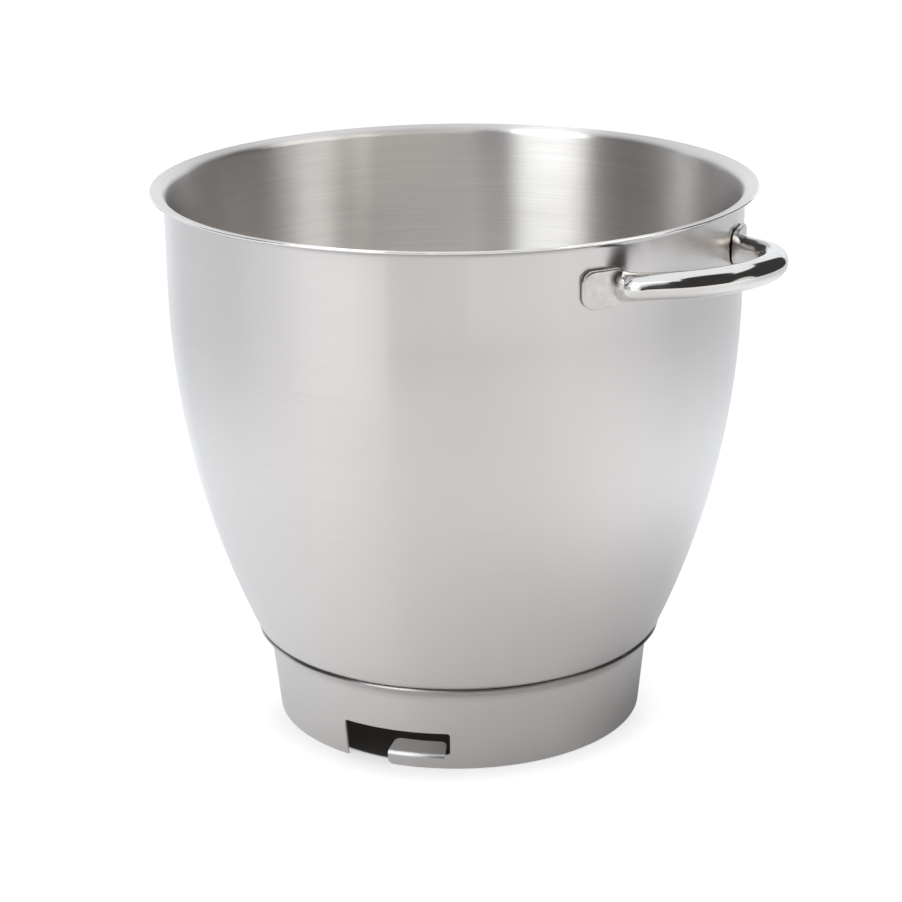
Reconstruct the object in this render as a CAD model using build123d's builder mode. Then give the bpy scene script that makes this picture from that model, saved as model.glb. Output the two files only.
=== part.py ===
from build123d import *
import os
from math import asin, atan2, cos, degrees, hypot, radians, sin, tan

# Bowl shell, millimetres and degrees, lean angles are measured from the vertical
overall_height = 223.6
wall_radius = 116.3
bowl_sheet = 0.9
straight_wall = 33.9
wall_arc_radius = 350.6
corner_height = 40.1
corner_radius = 10.0
bottom_arc_radius = 60.0
lip_overhang = 5.7
lip_arc_radius = 4.5
lip_lean = 72.0

# Base ring
ring_sheet = 0.9
ring_draft = 5.9
cove_radius = 6.0
flare_lean = 50.0
flare_below = 2.15
flare_above = 1.8
weld_gap = 0.05

# Bayonet slots in the base ring
slot_count = 3
slot_start = -86.0
slot_arc = 33.6
entry_arc = 14.3
slot_top = 16.0
slot_corner = 1.2
lip_relief_arc = 1.6
fold_top = 6.2
fold_radius = 2.2
fold_depth = 9.0
fold_rise = 12.0
strip_corner = 2.4
lip_corner = 2.5

# Handle, centred on +X
handle_drop = 18.6
bar_diameter = 10.4
leg_length = 16.2
leg_angle = 61.7
bow_radius = 34.5
bow_tilt = 5.9
root_offset = 4.1
crimp_length = 6.0
pad_length = 16.4
pad_height = 14.6
pad_thickness = 2.0
pad_corner = 5.0
end_inset = 0.15
side_share = 0.36

# Bowl outline, worked out from the rim down
lip_turn_drop = lip_arc_radius * sin(radians(lip_lean))
lip_turn_reach = lip_arc_radius * (1 - cos(radians(lip_lean)))
lip_flat = (lip_overhang - lip_turn_reach) / sin(radians(lip_lean))
lip_flat_drop = lip_flat * cos(radians(lip_lean))
lip_start = overall_height - bowl_sheet * sin(radians(lip_lean)) - lip_flat_drop - lip_turn_drop
arc_top = lip_start - straight_wall
wall_lean = degrees(asin((arc_top - corner_height) / wall_arc_radius))


def lean_step(radius, lean_a, lean_b):
    """Reach and rise between two leans on an arc of the given radius."""
    reach = radius * abs(cos(radians(lean_a)) - cos(radians(lean_b)))
    rise = radius * abs(sin(radians(lean_b)) - sin(radians(lean_a)))
    return reach, rise


wall_arc_reach, _ = lean_step(wall_arc_radius, 0, wall_lean)
corner_reach, corner_rise = lean_step(corner_radius, wall_lean, flare_lean)
bottom_reach, bottom_rise = lean_step(bottom_arc_radius, flare_lean, 90)
seat_radius = wall_radius - wall_arc_reach - corner_reach
seat_height = corner_height - corner_rise
bottom_flat = seat_radius - bottom_reach
bottom_height = seat_height - bottom_rise

with BuildPart() as bowl:
    with BuildSketch(Plane.XZ):
        with BuildLine():
            floor_line = Line((0, bottom_height), (bottom_flat, bottom_height))
            bottom_arc = JernArc(floor_line @ 1, floor_line % 1, bottom_arc_radius, 90 - flare_lean)
            corner_arc = JernArc(bottom_arc @ 1, bottom_arc % 1, corner_radius, flare_lean - wall_lean)
            wall_arc = JernArc(corner_arc @ 1, corner_arc % 1, wall_arc_radius, wall_lean)
            wall_line = Line(wall_arc @ 1, (wall_radius, lip_start))
            lip_arc = JernArc(wall_line @ 1, wall_line % 1, lip_arc_radius, -lip_lean)
            PolarLine(lip_arc @ 1, lip_flat, 90 - lip_lean)
            offset(amount=bowl_sheet, side=Side.LEFT)
        make_face()
    revolve(axis=Axis.Z)

# Base ring outline: its flare lies against the bowl's corner where both lean the same way
flare_offset = weld_gap + ring_sheet
flare_radius = seat_radius + flare_offset * cos(radians(flare_lean))
flare_height = seat_height - flare_offset * sin(radians(flare_lean))
cove_reach, cove_rise = lean_step(cove_radius, ring_draft, flare_lean)
cove_start_radius = flare_radius - flare_below * sin(radians(flare_lean)) - cove_reach
cove_start_height = flare_height - flare_below * cos(radians(flare_lean)) - cove_rise
foot_radius = cove_start_radius - cove_start_height * tan(radians(ring_draft))


def ring_radius(height):
    """Outer radius of the ring's conical wall at a height."""
    return foot_radius + height * tan(radians(ring_draft))


# The fold turns the strip's upper edge from the ring's draft to a shallow inward rise
fold_turn = 90 - fold_rise + ring_draft
fold_start = fold_top - fold_radius * (cos(radians(fold_rise)) + sin(radians(ring_draft)))
fold_reach = fold_radius * (cos(radians(ring_draft)) - sin(radians(fold_rise)))
lip_run = (fold_depth - fold_reach) / cos(radians(fold_rise))
below_foot = -2 * ring_sheet
strip_start = slot_start + entry_arc
strip_arc = slot_arc - entry_arc - lip_relief_arc
cutter_inner = foot_radius - 2 * fold_depth
cutter_outer = foot_radius + 2 * fold_depth


def turned(angle):
    """Vertical plane through the axis, with local x pointing out at the angle."""
    out = (cos(radians(angle)), sin(radians(angle)), 0)
    return Plane(origin=(0, 0, 0), x_dir=out, z_dir=(out[1], -out[0], 0))


def end_corners(block, heights, angle=None):
    """Level edges running outward from the axis, at given heights and, if wanted, one angle."""
    found = []
    for edge in block.edges().filter_by(GeomType.LINE):
        middle = edge.center()
        level = abs(edge.tangent_at(0).Z) < 0.001
        outward = abs(edge.tangent_at(0).cross(Vector(middle.X, middle.Y, 0).normalized()).length) < 0.001
        near_height = any(abs(middle.Z - height) < 0.01 for height in heights)
        here = degrees(atan2(middle.Y, middle.X))
        near_angle = angle is None or abs(here - angle) < 0.1
        if level and outward and near_height and near_angle:
            found.append(edge)
    return found


def axis_distance(edge):
    """How far the middle of an edge is from the bowl's axis."""
    return hypot(edge.center().X, edge.center().Y)


# Cutters of one slot: the rounded window, and the open way up from the foot
with BuildPart() as window:
    with BuildSketch(turned(slot_start)):
        with Locations(((cutter_inner + cutter_outer) / 2, (fold_top + slot_top) / 2)):
            Rectangle(cutter_outer - cutter_inner, slot_top - fold_top)
    revolve(axis=Axis.Z, revolution_arc=slot_arc)
    fillet(end_corners(window.part, [fold_top, slot_top]), slot_corner)

with BuildPart() as open_way:
    way_top = slot_top - slot_corner
    with BuildSketch(turned(slot_start)):
        with Locations(((cutter_inner + cutter_outer) / 2, (below_foot + way_top) / 2)):
            Rectangle(cutter_outer - cutter_inner, way_top - below_foot)
    revolve(axis=Axis.Z, revolution_arc=entry_arc + strip_arc)

# Strip below one slot, its upper edge folded inward as the locking lip
with BuildPart() as locking_strip:
    with BuildSketch(turned(strip_start)):
        with BuildLine():
            wall = Line((ring_radius(below_foot), below_foot), (ring_radius(fold_start), fold_start))
            fold = JernArc(wall @ 1, wall % 1, fold_radius, fold_turn)
            PolarLine(fold @ 1, lip_run, 180 - fold_rise)
            offset(amount=ring_sheet, side=Side.LEFT)
        make_face()
    revolve(axis=Axis.Z, revolution_arc=strip_arc)
    split(bisect_by=Plane.XY, keep=Keep.TOP)
    fillet(end_corners(locking_strip.part, [0], strip_start), strip_corner)
    straight_edges = locking_strip.edges().filter_by(GeomType.LINE)
    fillet(straight_edges.group_by(axis_distance)[0], lip_corner)

with BuildPart() as base_ring:
    with BuildSketch(Plane.XZ):
        with BuildLine():
            skirt = Line((ring_radius(below_foot), below_foot), (cove_start_radius, cove_start_height))
            cove = JernArc(skirt @ 1, skirt % 1, cove_radius, ring_draft - flare_lean)
            PolarLine(cove @ 1, flare_below + flare_above, 90 - flare_lean)
            offset(amount=ring_sheet, side=Side.LEFT)
        make_face()
    revolve(axis=Axis.Z)
    split(bisect_by=Plane.XY, keep=Keep.TOP)
    with PolarLocations(0, slot_count):
        add(window.part, mode=Mode.SUBTRACT)
        add(open_way.part, mode=Mode.SUBTRACT)
    with PolarLocations(0, slot_count):
        add(locking_strip.part)

# Handle, hung below the rim: two legs lean in from the wall to one bend, in a plane that rises outward
handle_height = overall_height - handle_drop
root_radius = wall_radius + root_offset
half_span = leg_length * cos(radians(leg_angle)) + bow_radius * sin(radians(leg_angle))
root_angle = asin(half_span / root_radius)
leg_rise = leg_length * sin(radians(leg_angle))
leg_top = half_span - leg_length * cos(radians(leg_angle))
bow_rise = leg_rise + bow_radius * (1 - cos(radians(leg_angle)))
crimp_rise = crimp_length * sin(radians(leg_angle))
crimp_side = half_span - crimp_length * cos(radians(leg_angle))
tilt = radians(bow_tilt)
bow_plane = Plane(
    origin=(root_radius * cos(root_angle), 0, handle_height),
    x_dir=(cos(tilt), 0, sin(tilt)),
    z_dir=(-sin(tilt), 0, cos(tilt)),
)

pad_radius = wall_radius + weld_gap + pad_thickness / 2
pad_span = pad_length / pad_radius
pad_plane = Plane(
    origin=(pad_radius * cos(root_angle), -pad_radius * sin(root_angle), handle_height),
    x_dir=(0, 0, 1),
    z_dir=(sin(root_angle), cos(root_angle), 0),
)
pad_centre = root_angle + pad_span / 2
pad_front = Plane(
    origin=(0, 0, handle_height),
    x_dir=(-sin(pad_centre), -cos(pad_centre), 0),
    z_dir=(cos(pad_centre), -sin(pad_centre), 0),
)


def crushed_section(width, depth):
    """Section of the bar as it is pressed flat, four arcs: two tight ends and two crowned sides."""
    end_width = width / 2 - end_inset * depth
    end_depth = side_share * depth
    ThreePointArc((end_width, -end_depth), (width / 2, 0), (end_width, end_depth))
    ThreePointArc((end_width, end_depth), (0, depth / 2), (-end_width, end_depth))
    ThreePointArc((-end_width, end_depth), (-width / 2, 0), (-end_width, -end_depth))
    ThreePointArc((-end_width, -end_depth), (0, -depth / 2), (end_width, -end_depth))


with BuildPart() as pad:
    with BuildSketch(pad_plane):
        with BuildLine():
            crushed_section(pad_height, pad_thickness)
        make_face()
    revolve(axis=Axis((0, 0, 0), (0, 0, -1)), revolution_arc=degrees(pad_span))
    with BuildSketch(pad_front) as pad_outline:
        with Locations((-pad_length / 2, 0)):
            Rectangle(2 * pad_length, pad_height)
        fillet(pad_outline.vertices().group_by(Axis.X)[-1], pad_corner)
    extrude(amount=2 * pad_radius, mode=Mode.INTERSECT)

with BuildPart() as handle:
    with BuildLine(bow_plane) as bow:
        Line((crimp_rise, -crimp_side), (leg_rise, -leg_top))
        ThreePointArc((leg_rise, -leg_top), (bow_rise, 0), (leg_rise, leg_top))
        Line((leg_rise, leg_top), (crimp_rise, crimp_side))
    bow_path = bow.wire()
    bar_plane = Plane(origin=bow_path @ 0, x_dir=bow_plane.z_dir, z_dir=bow_path % 0)
    crimp_plane = Plane(
        origin=(bar_plane.origin + pad_plane.origin) / 2,
        x_dir=(bar_plane.x_dir + pad_plane.x_dir).normalized(),
        z_dir=(bar_plane.z_dir + pad_plane.z_dir).normalized(),
    )
    crimp_height = (pad_height + bar_diameter) / 2
    crimp_depth = (pad_thickness + bar_diameter) / 2
    for plane, width, depth in (
        (pad_plane, pad_height, pad_thickness),
        (crimp_plane, crimp_height, crimp_depth),
        (bar_plane, bar_diameter, bar_diameter),
    ):
        with BuildSketch(plane):
            with BuildLine():
                crushed_section(width, depth)
            make_face()
    loft()
    add(pad.part)
    mirror(about=Plane.XZ)
    with BuildSketch(bar_plane):
        with BuildLine():
            crushed_section(bar_diameter, bar_diameter)
        make_face()
    sweep(path=bow_path)

os.makedirs("parts", exist_ok=True)
bowl.part.label = "bowl"
export_step(bowl.part, "parts/bowl.step")
base_ring.part.label = "base_ring"
export_step(base_ring.part, "parts/base_ring.step")
handle.part.label = "handle"
export_step(handle.part, "parts/handle.step")
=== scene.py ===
from math import asin, atan2, cos, pi, radians, sin, sqrt, tan

import bmesh
import bpy
from mathutils import Matrix, Vector


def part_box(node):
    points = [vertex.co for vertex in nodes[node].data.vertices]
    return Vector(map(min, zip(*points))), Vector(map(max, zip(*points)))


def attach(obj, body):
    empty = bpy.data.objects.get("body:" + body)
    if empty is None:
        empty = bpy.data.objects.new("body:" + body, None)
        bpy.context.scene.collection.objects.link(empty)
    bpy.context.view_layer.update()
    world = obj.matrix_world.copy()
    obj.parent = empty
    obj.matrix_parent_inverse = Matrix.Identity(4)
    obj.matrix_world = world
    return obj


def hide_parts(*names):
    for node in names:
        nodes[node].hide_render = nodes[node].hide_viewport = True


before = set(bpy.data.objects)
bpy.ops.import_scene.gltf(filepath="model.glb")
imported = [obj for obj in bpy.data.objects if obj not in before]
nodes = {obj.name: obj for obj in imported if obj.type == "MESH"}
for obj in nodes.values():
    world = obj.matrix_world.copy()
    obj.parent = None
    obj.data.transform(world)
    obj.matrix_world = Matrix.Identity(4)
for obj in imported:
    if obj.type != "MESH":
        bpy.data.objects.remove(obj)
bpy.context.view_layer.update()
scene = bpy.context.scene

# Camera, fitted to the photograph: degrees and metres, with the lens in millimetres
VIEW_AZIMUTH, VIEW_TURN, VIEW_TIP, VIEW_ROLL = 40.58, 0.149, 18.485, -0.685
VIEW_REACH, VIEW_HEIGHT = 0.9506, 0.4266
LENS, SENSOR = 95.95, 36


def around(azimuth, distance, height):
    """A place at an azimuth counted from the photograph's camera, left negative, in the row frame."""
    a = radians(VIEW_AZIMUTH + azimuth)
    return (distance * sin(a), -distance * cos(a), height)


camera_data = bpy.data.cameras.new("camera")
camera_data.lens = LENS
camera_data.sensor_width = SENSOR
camera = bpy.data.objects.new("camera", camera_data)
scene.collection.objects.link(camera)
turn = Matrix.Rotation(radians(VIEW_AZIMUTH + VIEW_TURN), 4, "Z")
tip = Matrix.Rotation(radians(90 - VIEW_TIP), 4, "X")
roll = Matrix.Rotation(radians(VIEW_ROLL), 4, "Z")
camera.matrix_world = Matrix.Translation(around(0, VIEW_REACH, VIEW_HEIGHT)) @ turn @ tip @ roll
scene.camera = camera
scene.view_settings.view_transform = "Standard"


# Node helpers
class Graph:
    """Short ways to add and join the nodes of one material or world."""

    def __init__(self, tree):
        self.tree = tree
        tree.nodes.clear()

    def add(self, kind, inputs=None, **settings):
        node = self.tree.nodes.new(kind)
        for key, value in settings.items():
            setattr(node, key, value)
        for key, value in (inputs or {}).items():
            if hasattr(value, "is_output"):
                self.tree.links.new(value, node.inputs[key])
            else:
                node.inputs[key].default_value = value
        return node

    def math(self, operation, a, b):
        return self.add("ShaderNodeMath", {0: a, 1: b}, operation=operation).outputs[0]

    def plus(self, a, b):
        return self.math("ADD", a, b)

    def less(self, a, b):
        return self.math("SUBTRACT", a, b)

    def times(self, a, b):
        return self.math("MULTIPLY", a, b)

    def larger(self, a, b):
        return self.math("MAXIMUM", a, b)

    def span(self, value, low, high, start=0.0, end=1.0):
        """From start, where the value is low, to end, where it is high, and level beyond."""
        inputs = {"Value": value, "From Min": low, "From Max": high, "To Min": start, "To Max": end}
        return self.add("ShaderNodeMapRange", inputs).outputs["Result"]

    def noise(self, vector, scale, detail=2.0, roughness=0.5):
        inputs = {"Vector": vector, "Scale": scale, "Detail": detail, "Roughness": roughness}
        return self.add("ShaderNodeTexNoise", inputs).outputs["Fac"]

    def mix(self, factor, a, b):
        return self.add("ShaderNodeMix", {0: factor, 6: a, 7: b}, data_type="RGBA").outputs[2]

    def point(self):
        return self.add("ShaderNodeTexCoord").outputs["Object"]

    def normal(self):
        return self.add("ShaderNodeNewGeometry").outputs["Normal"]

    def split(self, vector):
        return self.add("ShaderNodeSeparateXYZ", {"Vector": vector}).outputs

    def length(self, vector):
        return self.add("ShaderNodeVectorMath", {0: vector}, operation="LENGTH").outputs["Value"]

    def direction(self, vector):
        return self.add("ShaderNodeVectorMath", {0: vector}, operation="NORMALIZE").outputs[0]

    def dot(self, a, b):
        return self.add("ShaderNodeVectorMath", {0: a, 1: b}, operation="DOT_PRODUCT").outputs["Value"]

    def ray_kinds(self):
        """1 on the camera's own rays, and 1 on rays that come off a mirror or through glass."""
        path = self.add("ShaderNodeLightPath").outputs
        return path["Is Camera Ray"], self.larger(path["Is Glossy Ray"], path["Is Transmission Ray"])

    def in_plan(self, parts):
        """The point's place in plan, and its distance from the axis."""
        flat = self.add("ShaderNodeCombineXYZ", {"X": parts["X"], "Y": parts["Y"]}).outputs[0]
        return flat, self.length(flat)

    def surface(self, shader):
        self.add("ShaderNodeOutputMaterial", {"Surface": shader.outputs[0]})


def new_material(name):
    material = bpy.data.materials.new(name)
    material.use_nodes = True
    return material, Graph(material.node_tree)


# Steel colours that several places share: a dark painted shade for creases and seams, and a bright painted
# highlight for edges and folds
PAINTED_SHADE_COLOUR = (0.05, 0.047, 0.043, 1)
PAINTED_HIGHLIGHT_COLOUR = (0.93, 0.92, 0.905, 1)

# Brushed steel: lines per metre, how much they slant with the radius, and their depth in metres
LINE_SCALE, LINE_SLANT, LINE_DEPTH = 2200.0, 0.6, 0.00003
CLOUD_SCALE = 14.0


def brushed_steel(name, dark, light, outside, inside, anisotropy, stroke, painted_shade, painted_highlight, shine):
    """Steel brushed round the axis: strokes a few centimetres long, lines under a millimetre apart.

    Its roughness is set for the outside and the inside. Two shade functions say how much of a point gets
    painted shade in a crease or seam, and how much a painted highlight; shine is what the highlight's share
    takes off the roughness.
    """
    material, g = new_material(name)
    point = g.point()
    parts = g.split(point)
    flat, radius = g.in_plan(parts)
    along = g.plus(parts["Z"], g.times(radius, LINE_SLANT))
    long_way = g.add(
        "ShaderNodeCombineXYZ",
        {
            "X": g.times(parts["X"], stroke),
            "Y": g.times(parts["Y"], stroke),
            "Z": g.times(along, LINE_SCALE),
        },
    ).outputs[0]
    lines = g.noise(long_way, 1.0)
    cloud = g.noise(point, CLOUD_SCALE)
    normal = g.normal()
    faces_out = g.dot(normal, g.direction(flat))
    within = g.span(g.less(g.times(g.split(normal)["Z"], 0.5), faces_out), -0.1, 0.1)
    swing = g.times(g.span(lines, 0.25, 0.75, -1.0, 1.0), g.span(within, 0, 1, 0.3, 1.0))
    highlighted = painted_highlight(g, parts["Z"], radius)

    colour = g.mix(g.span(swing, -1.2, 1.2), dark, light)
    # Painted shade in the seam's crevice and under the lip, then a painted highlight on the rim's edge and the
    # lip folds
    colour = g.mix(painted_shade(g, parts["Z"], radius), colour, PAINTED_SHADE_COLOUR)
    colour = g.mix(highlighted, colour, PAINTED_HIGHLIGHT_COLOUR)
    rough = g.plus(g.span(within, 0, 1, outside, inside), g.times(swing, 0.035))
    rough = g.plus(rough, g.span(cloud, 0.3, 0.7, -0.02, 0.02))
    rough = g.less(rough, g.times(highlighted, shine))
    strength = g.span(within, 0, 1, 0.01, 0.035)
    bump = g.add("ShaderNodeBump", {"Height": lines, "Strength": strength, "Distance": LINE_DEPTH})
    tangent = g.add("ShaderNodeTangent", direction_type="RADIAL", axis="Z")
    shader = g.add(
        "ShaderNodeBsdfPrincipled",
        {
            "Base Color": colour,
            "Metallic": 1.0,
            "Roughness": rough,
            "Anisotropic": anisotropy,
            "Anisotropic Rotation": 0.25,
            "Normal": bump.outputs[0],
            "Tangent": tangent.outputs[0],
        },
    )
    g.surface(shader)
    return material


# Polished steel: the scales of its buffing swirls, its grain and the blotches on its satin ends, and, in
# metres inwards from the satin's radius, where the painted shade beside the wall starts and where it is full
SWIRL_SCALE, GRAIN_SCALE, BLOTCH_SCALE = 90.0, 700.0, 260.0
SATIN_COLOUR = (0.60, 0.575, 0.545, 1)
SATIN_FADE = 0.0004
SHADE_START, SHADE_FULL = 0.0015, 0.0018


def polished_steel(name, dark, light, roughness, satin, satin_radius):
    """Mirror polish with faint swirls, satin within a radius of the axis, and painted shade further in, by the
    wall.
    """
    material, g = new_material(name)
    point = g.point()
    radius = g.in_plan(g.split(point))[1]
    swirl = g.noise(point, SWIRL_SCALE, 3.0, 0.6)
    grain = g.noise(point, GRAIN_SCALE, 2.0, 0.6)
    on_end = g.span(radius, satin_radius, satin_radius + SATIN_FADE, 1.0, 0.0)
    blotch = g.span(g.noise(point, BLOTCH_SCALE, 3.0, 0.6), 0.35, 0.65, 0.25, 0.75)

    colour = g.mix(g.span(swirl, 0.3, 0.7), dark, light)
    colour = g.mix(g.times(on_end, blotch), colour, SATIN_COLOUR)
    # Painted shade in the gap where the flat ends meet the bowl's wall
    clear_of_shade = g.span(radius, satin_radius - SHADE_FULL, satin_radius - SHADE_START)
    colour = g.mix(clear_of_shade, PAINTED_SHADE_COLOUR, colour)
    rough = g.plus(g.span(on_end, 0, 1, roughness, satin), g.span(swirl, 0.3, 0.7, -0.012, 0.018))
    height = g.plus(swirl, g.times(grain, 0.03))
    bump = g.add("ShaderNodeBump", {"Height": height, "Strength": 0.05, "Distance": 0.0002})
    shader = g.add(
        "ShaderNodeBsdfPrincipled",
        {"Base Color": colour, "Metallic": 1.0, "Roughness": rough, "Normal": bump.outputs[0]},
    )
    g.surface(shader)
    return material


# Handle: a polished bar on two flat welded ends, in millimetres as in the CAD source.
# WALL, BAR and BOW are radii: of the bowl's wall, of the bar and of its bow. The bar's middle hangs
# HANDLE_DROP below the rim, and its legs start ROOT_OUT off the wall.
WALL, GAP, RIM = 116.3, 0.05, 223.6
HANDLE_DROP, ROOT_OUT = 18.6, 4.1
BAR, LEG, BOW = 5.2, 16.2, 34.5
PAD_LENGTH, PAD_HEIGHT, PAD_THICK, PAD_CORNER, PAD_EDGE = 16.4, 14.6, 2.0, 5.0, 0.7
LEAN, TILT = radians(61.7), radians(5.9)
LEVEL = RIM - HANDLE_DROP
root_radius = WALL + ROOT_OUT
half_span = LEG * cos(LEAN) + BOW * sin(LEAN)
root_angle = asin(half_span / root_radius)
bow_centre = LEG * sin(LEAN) - BOW * cos(LEAN)
start_x = root_radius * cos(root_angle)
leg_lean = LEAN - root_angle

handle_steel = polished_steel(
    "handle_steel",
    dark=(0.78, 0.765, 0.75, 1),
    light=(0.83, 0.815, 0.80, 1),
    roughness=0.10,
    satin=0.24,
    satin_radius=(WALL + GAP + PAD_THICK + 0.05) / 1000,
)

# How the handle's mesh is divided: a side's share between a corner and the point beside it, and the share
# of a round section that its corners take. Points nearer than MERGE metres become one.
CORNER_STEPS, FOOT_STEPS, BOW_STEPS = 9, 16, 26
SIDE_EASE, ROUND = 0.05, 0.99
MERGE = 1e-7
UP = Vector((0, 0, 1))


def section(centre, depth_way, height_way, half_height, half_depth, corner_height, corner_depth):
    """Points round a section with elliptical corners, and one beside each corner to keep its sides flat."""
    points = []
    for quarter in range(4):
        sign_h = 1 if quarter in (0, 1) else -1
        sign_d = 1 if quarter in (0, 3) else -1
        turns = [(quarter + i / (CORNER_STEPS - 1)) * pi / 2 for i in range(CORNER_STEPS)]
        corner = [
            (
                sign_h * (half_height - corner_height) + corner_height * sin(a),
                sign_d * (half_depth - corner_depth) + corner_depth * cos(a),
            )
            for a in turns
        ]
        first, last = corner[0], corner[-1]
        ease_h = SIDE_EASE * (half_height - corner_height)
        ease_d = SIDE_EASE * (half_depth - corner_depth)
        if quarter in (0, 2):
            before, after = (first[0] - sign_h * ease_h, first[1]), (last[0], last[1] - sign_d * ease_d)
        else:
            before, after = (first[0], first[1] - sign_d * ease_d), (last[0] - sign_h * ease_h, last[1])
        points += [centre + height_way * h + depth_way * d for h, d in [before] + corner + [after]]
    return points


def bezier(a, b, c, d, u):
    v = 1 - u
    return a * v**3 + b * 3 * v * v * u + c * 3 * v * u * u + d * u**3


def by_wall(out, along):
    """A point in plan beside the root: distance off the wall, and distance along it towards the middle."""
    radial = Vector((cos(root_angle), -sin(root_angle), 0))
    tangent = Vector((sin(root_angle), cos(root_angle), 0))
    return radial * (WALL + out) + tangent * along


def leg_point(t, side):
    """A point in plan on the bar's left (1) or right (-1) line, t along the leg."""
    out = root_radius - WALL + t * sin(leg_lean) + side * BAR * cos(leg_lean)
    return by_wall(out, t * cos(leg_lean) - side * BAR * sin(leg_lean))


LIFT_EASE = 2


def lift(x):
    """Rise of the bar's middle with its distance beyond the root, eased in over a few millimetres."""
    x = x - start_x
    return tan(TILT) * (x + sqrt(x * x + LIFT_EASE**2)) / 2


def closed_mesh(name, shells):
    """One mesh of closed shells, each given as rings of points, with flat ends."""
    points, faces = [], []
    for rings in shells:
        base, count = len(points), len(rings[0])
        points += [p / 1000 for ring in rings for p in ring]
        for r in range(len(rings) - 1):
            for k in range(count):
                a, b = base + r * count + k, base + r * count + (k + 1) % count
                faces.append((a, b, b + count, a + count))
        faces.append(tuple(reversed(range(base, base + count))))
        faces.append(tuple(range(len(points) - count, len(points))))
    mesh = bpy.data.meshes.new(name)
    mesh.from_pydata(points, [], faces)
    solid = bmesh.new()
    solid.from_mesh(mesh)
    bmesh.ops.remove_doubles(solid, verts=solid.verts, dist=MERGE)
    bmesh.ops.recalc_face_normals(solid, faces=solid.faces)
    solid.to_mesh(mesh)
    solid.free()
    mesh.shade_smooth()
    mesh.set_sharp_from_angle(angle=radians(40))
    return mesh


def mirrored_rings(rings):
    return [[Vector((p.x, -p.y, p.z)) for p in ring] for ring in rings]


# Places of the sections: from a flat end's edge to its middle, and along the bar's straight leg.
# A flat end goes on under the bar's foot by PAD_END, and LEAST_EDGE keeps its corner points apart.
PAD_STATIONS = (0, 0.06, 0.15, 0.3, 0.5, 0.7, 1.0, 1.5, 2.2, 3.2, 4.2, 5, 5.6)
PAD_MIDDLE = (8, 10.5)
LEG_STATIONS = (9, 12, 14.5)
PAD_END = 2.6
LEAST_EDGE = 0.01


def round_off(size, in_by):
    """How much a rounded corner of a size takes off at a distance in from the edge."""
    return size - sqrt(size**2 - (size - min(in_by, size)) ** 2)


def pad_sections():
    """A flat end, from its left edge to under the bar's foot, all its edges rounded."""
    rings = []
    whole = PAD_LENGTH + PAD_END
    for s in PAD_STATIONS + PAD_MIDDLE + tuple(whole - s for s in reversed(PAD_STATIONS)):
        in_by = min(s, whole - s)
        turn_at = root_angle + (PAD_LENGTH - s) / (WALL + GAP + PAD_THICK / 2)
        out = Vector((cos(turn_at), -sin(turn_at), 0))
        thin = round_off(PAD_EDGE, in_by)
        edge = PAD_EDGE - thin + LEAST_EDGE
        middle = out * (WALL + GAP + PAD_THICK / 2) + Vector((0, 0, LEVEL))
        half_height = PAD_HEIGHT / 2 - round_off(PAD_CORNER, in_by)
        rings.append(section(middle, out, UP, half_height, PAD_THICK / 2 - thin, edge, edge))
    return rings


# The bar's foot in plan: its left and right sides are curves from the flat end to the leg, at JOIN along it
JOIN = 6.5
FOOT_TALLER = 0.7
FOOT_LEFT = (by_wall(0.12, -3.2), by_wall(5.6, -3.3), leg_point(JOIN - 4.5, 1), leg_point(JOIN, 1))
FOOT_RIGHT = (leg_point(-0.25, -1), leg_point(2.0, -1), leg_point(JOIN - 2.25, -1), leg_point(JOIN, -1))


def round_section(middle, depth_way, height_way, half_height, half_depth):
    return section(
        middle, depth_way, height_way, half_height, half_depth, half_height * ROUND, half_depth * ROUND
    )


def bar_sections():
    """Half of the bar: its foot rises straight on its left and at a slant on its right, then leg and bow."""
    rings = []
    for i in range(FOOT_STEPS + 1):
        u = i / FOOT_STEPS
        ease = u * u * (3 - 2 * u)
        a, b = bezier(*FOOT_LEFT, u), bezier(*FOOT_RIGHT, u)
        middle = (a + b) / 2
        middle.z = LEVEL + lift(middle.x)
        up = Vector((-sin(TILT * ease), 0, cos(TILT * ease)))
        tall = BAR + FOOT_TALLER * (1 - ease)
        rings.append(round_section(middle, (a - b).normalized(), up, tall, (a - b).length / 2))

    bow_x, bow_up = Vector((cos(TILT), 0, sin(TILT))), Vector((-sin(TILT), 0, cos(TILT)))
    bow_start = Vector((start_x, 0, LEVEL))
    line = [(t * sin(LEAN), -half_span + t * cos(LEAN), -LEAN) for t in LEG_STATIONS]
    angles = [-LEAN + LEAN * i / BOW_STEPS for i in range(BOW_STEPS + 1)]
    line += [(bow_centre + BOW * cos(a), BOW * sin(a), a) for a in angles]
    for x, y, a in line:
        outward = bow_x * cos(a) + Vector((0, sin(a), 0))
        middle = bow_start + bow_x * x + Vector((0, y, 0))
        rings.append(round_section(middle, outward, bow_up, BAR, BAR))
    return rings


pad_rings, bar_half = pad_sections(), bar_sections()
bar_rings = bar_half + mirrored_rings(reversed(bar_half[:-1]))
handle_mesh = closed_mesh("handle_bar", (pad_rings, bar_rings, mirrored_rings(pad_rings)))
handle_mesh.materials.append(handle_steel)
handle_bar = bpy.data.objects.new("handle_bar", handle_mesh)
scene.collection.objects.link(handle_bar)
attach(handle_bar, "root")
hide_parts("handle")

# Rim: the sheet turns out flatter and in a tighter bend than in the CAD source, up to the same edge,
# which is rounded. A lip is given by the radius of its bend and by how far it leans from upright.
LIP_OUT, SHEET, EDGE_ROUND = 5.7, 0.9, 0.4
LIP_CAD = (4.5, radians(72))
LIP = (2.2, radians(80))
START_SLACK, EDGE_SLACK = 0.01, 0.02


def lip_shape(bend, lean):
    """Length of the lip's flat part and the height where its bend starts."""
    flat = (LIP_OUT - bend * (1 - cos(lean))) / sin(lean)
    return flat, RIM - SHEET * sin(lean) - flat * cos(lean) - bend * sin(lean)


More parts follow.
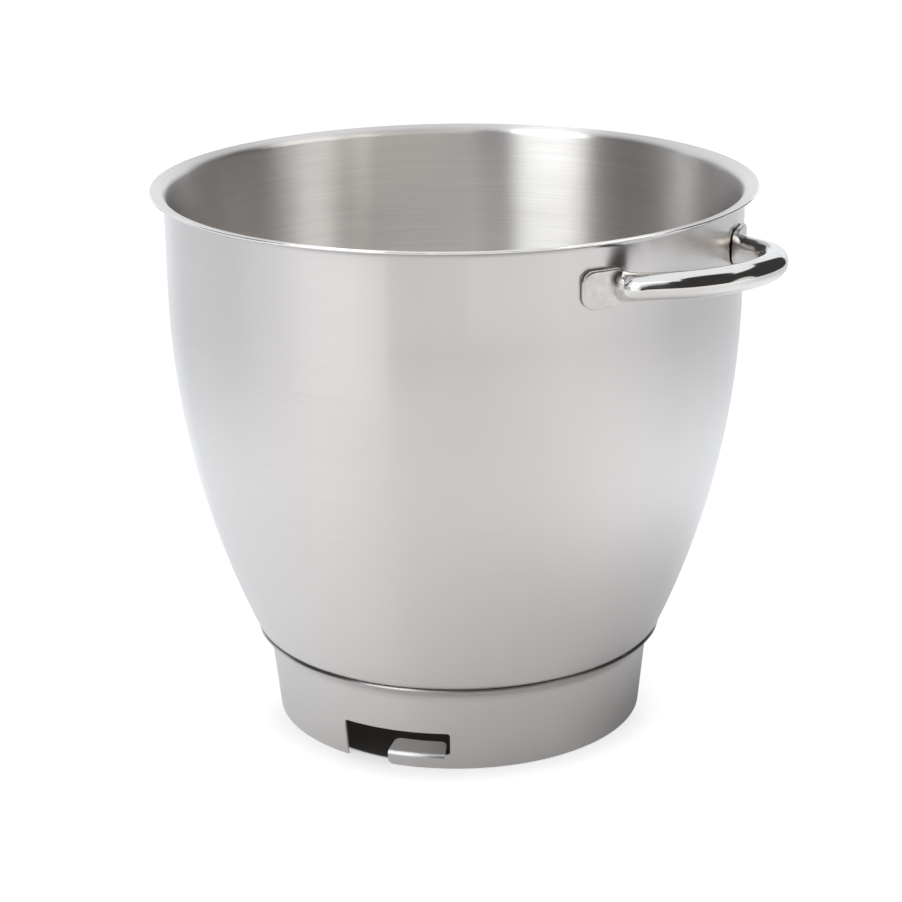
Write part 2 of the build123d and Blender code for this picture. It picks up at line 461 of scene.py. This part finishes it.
def lip_point(bend, lean, turn, over, along):
    """Radius and height at a turn round the bend, over its outer face, along the flat part."""
    start = lip_shape(bend, lean)[1]
    radius = WALL + bend - (bend + over) * cos(turn) + along * sin(lean)
    return radius, start + (bend + over) * sin(turn) + along * cos(lean)


def turn_lip(solid):
    """Move the CAD lip's points to the new lip, and round its cut edge."""
    cad_bend, cad_lean = LIP_CAD
    cad_flat, cad_start = lip_shape(*LIP_CAD)
    stretch = lip_shape(*LIP)[0] / cad_flat
    cut_edge = set()
    for vertex in solid.verts:
        radius, height = vertex.co.xy.length * 1000, vertex.co.z * 1000
        if height < cad_start - START_SLACK:
            continue
        turn, along = atan2(height - cad_start, WALL + cad_bend - radius), 0
        over = Vector((radius - WALL - cad_bend, height - cad_start)).length - cad_bend
        if turn > cad_lean:
            turn = cad_lean
            from_end = Vector((radius, height)) - Vector(lip_point(*LIP_CAD, turn, 0, 0))
            along = from_end.dot(Vector((sin(cad_lean), cos(cad_lean))))
            over = from_end.dot(Vector((-cos(cad_lean), sin(cad_lean))))
        if along > cad_flat - EDGE_SLACK:
            cut_edge.add(vertex)
        new_turn = max(turn, 0) * LIP[1] / cad_lean
        new_radius, new_height = lip_point(*LIP, new_turn, over, along * stretch)
        vertex.co.xy = vertex.co.xy * (new_radius / radius)
        vertex.co.z = new_height / 1000
    corners = [
        edge
        for edge in solid.edges
        if set(edge.verts) <= cut_edge and len(edge.link_faces) == 2 and edge.calc_face_angle() > radians(60)
    ]
    bmesh.ops.bevel(solid, geom=corners, offset=EDGE_ROUND / 1000, segments=4, profile=0.5, affect="EDGES")


shell_mesh = nodes["bowl"].data.copy()
shell_mesh.transform(nodes["bowl"].matrix_world)
shell = bmesh.new()
shell.from_mesh(shell_mesh)
bmesh.ops.remove_doubles(shell, verts=shell.verts, dist=MERGE)
turn_lip(shell)
shell.to_mesh(shell_mesh)
shell.free()
shell_mesh.shade_smooth()
shell_mesh.set_sharp_from_angle(angle=radians(35))
bowl_shell = bpy.data.objects.new("bowl_shell", shell_mesh)
scene.collection.objects.link(bowl_shell)
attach(bowl_shell, "root")
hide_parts("bowl")

# Where the painted shade and the painted highlights lie, in metres: each shade function gives a share from 0 to
# 1.
# Both sheets lean 50 degrees at the seam, and an edge is the height and radius of a sheet's outer corner.
# The folded lips lie between the heights FOLD_LOW and FOLD_HIGH, each of them a fade from 0 to 1 or back.
SEAM_LEAN = radians(50)
SHEET_METRES = SHEET / 1000
MIDDLE_OF_WALL = (WALL - 0.3) / 1000
FOLD_LOW, FOLD_HIGH = (0.0030, 0.0036), (0.0088, 0.0094)
RING_TOP, RING_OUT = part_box("base_ring")[1].z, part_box("base_ring")[1].x
RIM_TOP, RIM_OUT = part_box("bowl")[1].z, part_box("bowl")[1].x
SEAM_EDGE = (RING_TOP - SHEET_METRES * sin(SEAM_LEAN), RING_OUT)
RIM_EDGE = (RIM_TOP - SHEET_METRES * sin(LIP[1]), RIM_OUT)


def along_sheet(g, height, radius, lean):
    """Distance along a sheet that leans out from upright, growing towards its edge."""
    return g.plus(g.times(height, cos(lean)), g.times(radius, sin(lean)))


def across_sheet(g, height, radius, lean):
    """Distance across the same sheet, growing from its outer to its inner face."""
    return g.less(g.times(height, sin(lean)), g.times(radius, cos(lean)))


def corner_of(edge, lean):
    """The two distances of a sheet's corner."""
    height, radius = edge
    return height * cos(lean) + radius * sin(lean), height * sin(lean) - radius * cos(lean)


def seam_shade(g, height, radius):
    """Painted shade in the seam's crevice, on the ring's cut edge: 0.7 beside the bowl and 0.12 further out. On
    the ring's faces: 0.
    """
    end, face = corner_of(SEAM_EDGE, SEAM_LEAN)
    on_edge = g.span(along_sheet(g, height, radius, SEAM_LEAN), end - 0.0003, end - 0.00015)
    over = across_sheet(g, height, radius, SEAM_LEAN)
    return g.times(on_edge, g.span(over, face + 0.0006, face + 0.00075, 0.12, 0.7))


def rim_polish_and_highlight(g, height, radius):
    """1 on the rounded edge of the rim: its brighter colour is a painted highlight, its lower roughness its
    polish.
    """
    end = corner_of(RIM_EDGE, LIP[1])[0]
    return g.span(along_sheet(g, height, radius, LIP[1]), end - 0.0005, end - 0.0003)


def under_lip_shade(g, height, radius):
    """Painted shade: up to 0.3 on the wall's outer face where it turns out under the lip, and 0.6 low on the
    rim's edge.
    """
    start = lip_shape(*LIP)[1] / 1000
    outside = g.span(radius, MIDDLE_OF_WALL, MIDDLE_OF_WALL + 0.0001)
    below = g.span(height, start + 0.0014, start + 0.0017, 1.0, 0.0)
    near = g.span(height, start - 0.0002, start + 0.0010, 0.0, 0.3)
    turned = g.times(outside, g.times(below, near))
    face = corner_of(RIM_EDGE, LIP[1])[1]
    under = g.span(across_sheet(g, height, radius, LIP[1]), face + 0.00015, face + 0.0005, 0.6, 0.0)
    return g.larger(turned, g.times(under, rim_polish_and_highlight(g, height, radius)))


def fold_highlight(g, height, radius):
    """Painted highlight: 1 on top of the folded lips, where they face up, and 0.15 on the ring's outer cut
    edge.
    """
    upward = g.span(g.split(g.normal())["Z"], 0.12, 0.35)
    low = g.times(g.span(height, *FOLD_LOW), g.span(height, *FOLD_HIGH, 1.0, 0.0))
    edge_height, edge_radius = SEAM_EDGE
    cut_edge = g.span(height, edge_height - 0.0003, edge_height - 0.0001)
    cut_edge = g.times(cut_edge, g.span(radius, edge_radius - 0.0004, edge_radius - 0.0003))
    return g.larger(g.times(upward, low), g.times(cut_edge, 0.15))


bowl_steel = brushed_steel(
    "bowl_steel",
    dark=(0.69, 0.668, 0.658, 1),
    light=(0.81, 0.784, 0.772, 1),
    outside=0.18,
    inside=0.34,
    anisotropy=1.0,
    stroke=22.0,
    painted_shade=under_lip_shade,
    painted_highlight=rim_polish_and_highlight,
    shine=0.15,
)
ring_steel = brushed_steel(
    "ring_steel",
    dark=(0.67, 0.649, 0.640, 1),
    light=(0.75, 0.727, 0.716, 1),
    outside=0.30,
    inside=0.30,
    anisotropy=0.8,
    stroke=30.0,
    painted_shade=seam_shade,
    painted_highlight=fold_highlight,
    shine=0.0,
)
for mesh, material in ((shell_mesh, bowl_steel), (nodes["base_ring"].data, ring_steel)):
    mesh.materials.clear()
    mesh.materials.append(material)


# Studio
def studio_world():
    """White backdrop: pure white to the camera, a trace cooler in the steel, and half as strong elsewhere."""
    world = bpy.data.worlds.new("studio")
    world.use_nodes = True
    g = Graph(world.node_tree)
    direct, mirrored = g.ray_kinds()
    backdrop = g.mix(mirrored, (1, 1, 1, 1), (0.95, 0.975, 1.0, 1))
    strength = g.span(g.larger(direct, mirrored), 0.0, 1.0, 0.5, 1.0)
    background = g.add("ShaderNodeBackground", {"Color": backdrop, "Strength": strength})
    g.add("ShaderNodeOutputWorld", {"Surface": background.outputs[0]})
    return world


# Floor: its half width, the ring's inner side, and the painted contact shadow from the foot outwards, in metres
FLOOR = 8.0
INSIDE_FOOT = (0.0712, 0.0727)
CONTACT = (0.0765, 0.091)
# The floor's white, and its dark colour under the bowl inside the foot, which is painted shade; then the tints
# of the painted glow in the steel
FLOOR_WHITE, FLOOR_PAINTED_SHADE = (0.8, 0.8, 0.8, 1), (0.14, 0.13, 0.12, 1)
GLOW_AHEAD, GLOW_BEHIND = (1, 0.995, 0.99, 1), (0.93, 0.99, 1.06, 1)


def floor_material():
    """White to the camera, with the bowl's real shadow and a painted contact shadow, and a painted glow in the
    steel with painted shade near the foot.

    Its parts change with the distance from the axis in metres, away, and with the side: ahead is 1
    towards the camera and -1 behind the bowl, and leftward is 1 on the left and -1 on the right.
    """
    material, g = new_material("floor_white")
    camera_ray, mirrored = g.ray_kinds()
    point = g.point()
    away, way = g.length(point), g.direction(point)
    ahead, leftward = g.dot(way, around(0, 1, 0)), g.dot(way, around(-90, 1, 0))

    # To the camera: none under the bowl, less in a painted contact shadow before and behind, and more at the
    # right, painted light
    lengthwise = g.plus(g.span(ahead, 0.0, 0.4), g.span(ahead, -0.4, -0.8))
    painted_contact = g.times(g.span(away, *CONTACT, 0.15, 0.0), lengthwise)
    white = g.less(g.span(leftward, 0.2, -0.6, 0.69, 0.74), painted_contact)
    direct = g.times(camera_ray, g.times(g.span(away, *INSIDE_FOOT), white))

    # In the steel, a painted glow: growing outwards, so painted shade near the foot, and less at the right of
    # the foot, at the far sides and ahead
    glow = g.plus(g.span(away, 0.078, 0.26, 0.26, 0.52), g.span(away, 0.45, 0.80, 0.0, 0.15))
    right_foot = g.times(g.span(away, 0.082, 0.120, 1.0, 0.0), g.span(leftward, -0.6, -0.95))
    far_sides = g.times(g.span(away, 0.35, 0.65), g.span(ahead, 0.0, 0.8, 0.45, 0.0))
    in_front = g.span(ahead, 0.6, 1.0, 0.0, 0.2)
    glow = g.times(glow, g.less(1.0, g.plus(right_foot, g.plus(far_sides, in_front))))

    # Painted light in the steel's glow: more on the left near and far, more on both sides in a belt, and more
    # behind on the left
    lean_left = g.plus(g.span(away, 0.13, 0.24, 0.45, 0.0), g.span(away, 0.40, 0.60, 0.0, 0.10))
    belt = g.times(g.span(away, 0.15, 0.25, 0.0, 0.16), g.span(away, 0.35, 0.50, 1.0, 0.3))
    sides = g.times(g.times(leftward, leftward), belt)
    behind_left = g.times(g.span(ahead, -0.6, -0.95, 0.0, 0.45), g.span(leftward, 0.0, 0.2))
    tilted = g.plus(g.times(leftward, lean_left), g.plus(sides, behind_left))
    in_steel = g.times(mirrored, g.times(glow, g.plus(1.0, tilted)))

    # Painted shade: the floor's colour is dark under the bowl, inside the foot
    shade = g.mix(g.span(away, *INSIDE_FOOT), FLOOR_PAINTED_SHADE, FLOOR_WHITE)
    diffuse = g.add("ShaderNodeBsdfDiffuse", {"Color": shade})
    # Painted tint of the glow in the steel: cooler behind the bowl, warmer ahead
    tint = g.mix(mirrored, (1, 1, 1, 1), g.mix(g.span(ahead, -0.6, 0.95), GLOW_BEHIND, GLOW_AHEAD))
    emission = g.add("ShaderNodeEmission", {"Color": tint, "Strength": g.plus(direct, in_steel)})
    g.surface(g.add("ShaderNodeAddShader", {0: diffuse.outputs[0], 1: emission.outputs[0]}))
    return material


def matt(name, colour):
    material, g = new_material(name)
    g.surface(g.add("ShaderNodeBsdfDiffuse", {"Color": colour}))
    return material


def stage_mesh(name, points, faces, material, shown=False):
    mesh = bpy.data.meshes.new(name)
    mesh.from_pydata(points, [], faces)
    mesh.materials.append(material)
    obj = bpy.data.objects.new(name, mesh)
    scene.collection.objects.link(obj)
    obj.visible_camera = shown
    obj.visible_diffuse = shown
    obj.visible_shadow = shown


FLAG_STEPS = 24


def curved_flag(name, start, stop, distance, low, high, material):
    """An upright stage card bent round the bowl between two azimuths."""
    turns = [start + (stop - start) * i / FLAG_STEPS for i in range(FLAG_STEPS + 1)]
    points = [around(a, distance, low) for a in turns] + [around(a, distance, high) for a in turns]
    row = FLAG_STEPS + 1
    faces = [(i, i + 1, i + row + 1, i + row) for i in range(FLAG_STEPS)]
    stage_mesh(name, points, faces, material)


def softbox(name, azimuth, distance, low, high, width, level, only=None, colour=(1, 1, 1), shape="RECTANGLE"):
    """An upright area lamp that faces the bowl; its level is how bright it looks in a mirror."""
    data = bpy.data.lights.new(name, "AREA")
    data.shape = shape
    data.size = width
    data.size_y = high - low
    data.energy = level * pi * data.size * data.size_y
    data.color = colour
    obj = bpy.data.objects.new(name, data)
    scene.collection.objects.link(obj)
    place = Vector(around(azimuth, distance, (low + high) / 2))
    look = Vector((place.x, place.y, 0))
    obj.matrix_world = Matrix.Translation(place) @ look.to_track_quat("Z", "Y").to_matrix().to_4x4()
    obj.visible_camera = False
    obj.visible_diffuse = False
    obj.light_linking.receiver_collection = only


def lit_alone(name, obj):
    """A collection of one object, for the lamps that act on nothing else."""
    collection = bpy.data.collections.new(name)
    collection.objects.link(obj)
    return collection


scene.world = studio_world()
corners = [(-FLOOR, -FLOOR, 0), (FLOOR, -FLOOR, 0), (FLOOR, FLOOR, 0), (-FLOOR, FLOOR, 0)]
stage_mesh("floor", corners, [(0, 1, 2, 3)], floor_material(), shown=True)

# Dark room in front of the table: curved flags behind the camera, and the ceiling above it. A flag has
# its first and last azimuth, its distance, and its lowest and highest height.
# The ceiling's sides are counted from the camera, and its two near corners are rounded.
CEILING_HEIGHT = 1.75
CEILING_LEFT, CEILING_RIGHT, CEILING_NEAR, CEILING_FAR = -0.2, 1.45, 0.3, 2.5
CORNER_LEFT, CORNER_RIGHT, CORNER_DEPTH = 0.9, 0.55, 0.9
CEILING_STEPS = 12
dark = matt("dark_room", (0.10, 0.097, 0.095, 1))
grey = matt("grey_wall", (0.82, 0.86, 0.88, 1))
curved_flag("dark_flag", -25, 140, 1.5, 0.0, CEILING_HEIGHT, dark)
curved_flag("grey_flag", -140, -25, 1.5, 0.0, 0.5, grey)
curved_flag("left_dark_flag", -112, -60, 1.4, 0.4, 2.2, dark)
turns = [pi / 2 * i / CEILING_STEPS for i in range(CEILING_STEPS + 1)]
outline = [(CEILING_LEFT, CEILING_FAR)]
outline += [
    (CEILING_LEFT + CORNER_LEFT * (1 - cos(t)), CEILING_NEAR + CORNER_DEPTH * (1 - sin(t))) for t in turns
]
outline += [
    (CEILING_RIGHT - CORNER_RIGHT * (1 - sin(t)), CEILING_NEAR + CORNER_DEPTH * (1 - cos(t))) for t in turns
]
outline += [(CEILING_RIGHT, CEILING_FAR)]
ahead_way, right_way = Vector(around(0, 1, 0)), Vector(around(90, 1, 0))
points = [right_way * x + ahead_way * y + Vector((0, 0, CEILING_HEIGHT)) for x, y in outline]
stage_mesh("dark_ceiling", points, [tuple(range(len(points)))], dark)

# High lamps for the inside of the bowl, a low one for everything, and a weak one at the bowl's right.
# A lamp has its azimuth and distance, its lowest and highest height, its width and its level.
LAMP_COOL, LAMP_WARM = (0.96, 1.0, 1.0), (1.0, 0.975, 0.92)
bowl_only = lit_alone("bowl_only", bowl_shell)
softbox("left_high_softbox", -48, 1.2, 0.8, 1.7, 0.76, 7.8, bowl_only, LAMP_COOL)
softbox("inner_fill_front", 18, 1.3, 0.7, 1.5, 1.4, 1.85, bowl_only, LAMP_WARM)
softbox("inner_fill_right", 66, 1.3, 0.7, 1.5, 1.25, 2.0, bowl_only, LAMP_WARM)
softbox("left_low_softbox", -50, 1.2, 0.1, 0.6, 0.62, 0.25)
softbox("right_softbox", 70, 1.2, 0.2, 1.25, 0.62, 0.3, bowl_only)

# A lamp that shows in the fold of the slot's lip
ring_only = lit_alone("ring_only", nodes["base_ring"])
softbox("slot_light", -38, 1.2, 0.3, 1.0, 0.7, 0.55, ring_only)

# Lamps in the polished handle: white beside the dark room, and a low one that pinches the room's image
handle_only = lit_alone("handle_only", handle_bar)
softbox("handle_side_light", -34, 1.2, 0.0, 1.6, 0.62, 0.75, handle_only)
softbox("handle_low_light", 62, 1.2, -0.42, 0.42, 0.62, 0.55, handle_only, shape="ELLIPSE")
